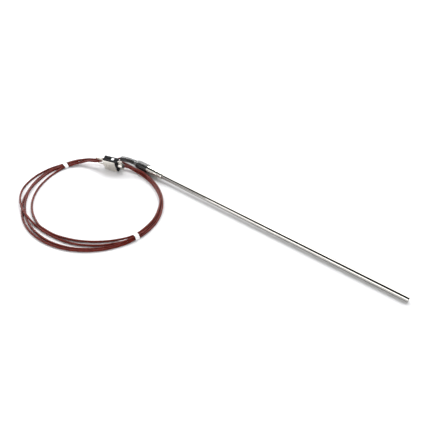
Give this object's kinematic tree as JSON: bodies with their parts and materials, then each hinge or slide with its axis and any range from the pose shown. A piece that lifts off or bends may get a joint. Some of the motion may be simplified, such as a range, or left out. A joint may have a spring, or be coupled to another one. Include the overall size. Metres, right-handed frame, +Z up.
{
  "type": "thermocouple",
  "caption": "Straight metal-sheathed thermocouple probe with a shrink-sleeved transition, a thin coiled and tied lead and a miniature flat-pin plug with a metal cable clamp.",
  "frame": {"origin": "on the table under the middle of the probe: bottom centre of the box round the probe without its free lead, coil, ties and plug", "axes": "+X along the probe towards its closed tip, +Z up; the coil lies on the -Y side of the probe's lead end"},
  "size_m": [0.4338, 0.1638, 0.0192],
  "materials": {
    "sheath_steel": "bright-drawn stainless tube with fine lengthwise and ring marks",
    "sleeve_steel": "turned stainless steel",
    "plated_steel": "nickel-plated pressed steel, satin",
    "magnesia": "compacted white powder",
    "iron": "drawn iron wire",
    "constantan": "drawn copper-nickel wire",
    "positive_pin": "bright flat iron pin",
    "negative_pin": "bright flat copper-nickel pin",
    "epoxy": "poured epoxy",
    "lead_jacket": "glossy red-brown fluoropolymer jacket",
    "shrink_tube": "semi-gloss black heat-shrink tube",
    "tie_white": "plain white tape band",
    "plug_body": "moulded black thermoset",
    "grommet_rubber": "soft black rubber",
    "label_white": "blank write-on patch"
  },
  "bodies": {
    "root": {"sheath": "sheath_steel", "tip_cap": "sheath_steel", "transition_sleeve": "sleeve_steel", "sheath_collar": "sleeve_steel", "mineral_insulation": "magnesia", "positive_element": "iron", "negative_element": "constantan", "hot_junction": "constantan", "positive_splice": "plated_steel", "negative_splice": "plated_steel", "positive_lead_end": "iron", "negative_lead_end": "constantan", "potting_compound": "epoxy", "lead_inner_end": "lead_jacket", "strain_relief": "shrink_tube", "lead_exit": "lead_jacket", "lead_coil": "lead_jacket", "lead_to_plug": "lead_jacket", "coil_tie_1": "tie_white", "coil_tie_2": "tie_white", "plug_base": "plug_body", "plug_cover": "plug_body", "positive_pin": "positive_pin", "negative_pin": "negative_pin", "positive_terminal_screw": "plated_steel", "negative_terminal_screw": "plated_steel", "positive_plug_lead": "iron", "negative_plug_lead": "constantan", "clamp_plate": "plated_steel", "clamp_saddle": "plated_steel", "clamp_bracket": "plated_steel", "clamp_screw_upper": "plated_steel", "clamp_screw_lower": "plated_steel", "cover_screw_upper": "plated_steel", "cover_screw_lower": "plated_steel", "cover_screw_rear": "plated_steel", "cable_grommet": "grommet_rubber", "write_on_label": "label_white"}
  },
  "joints": []
}
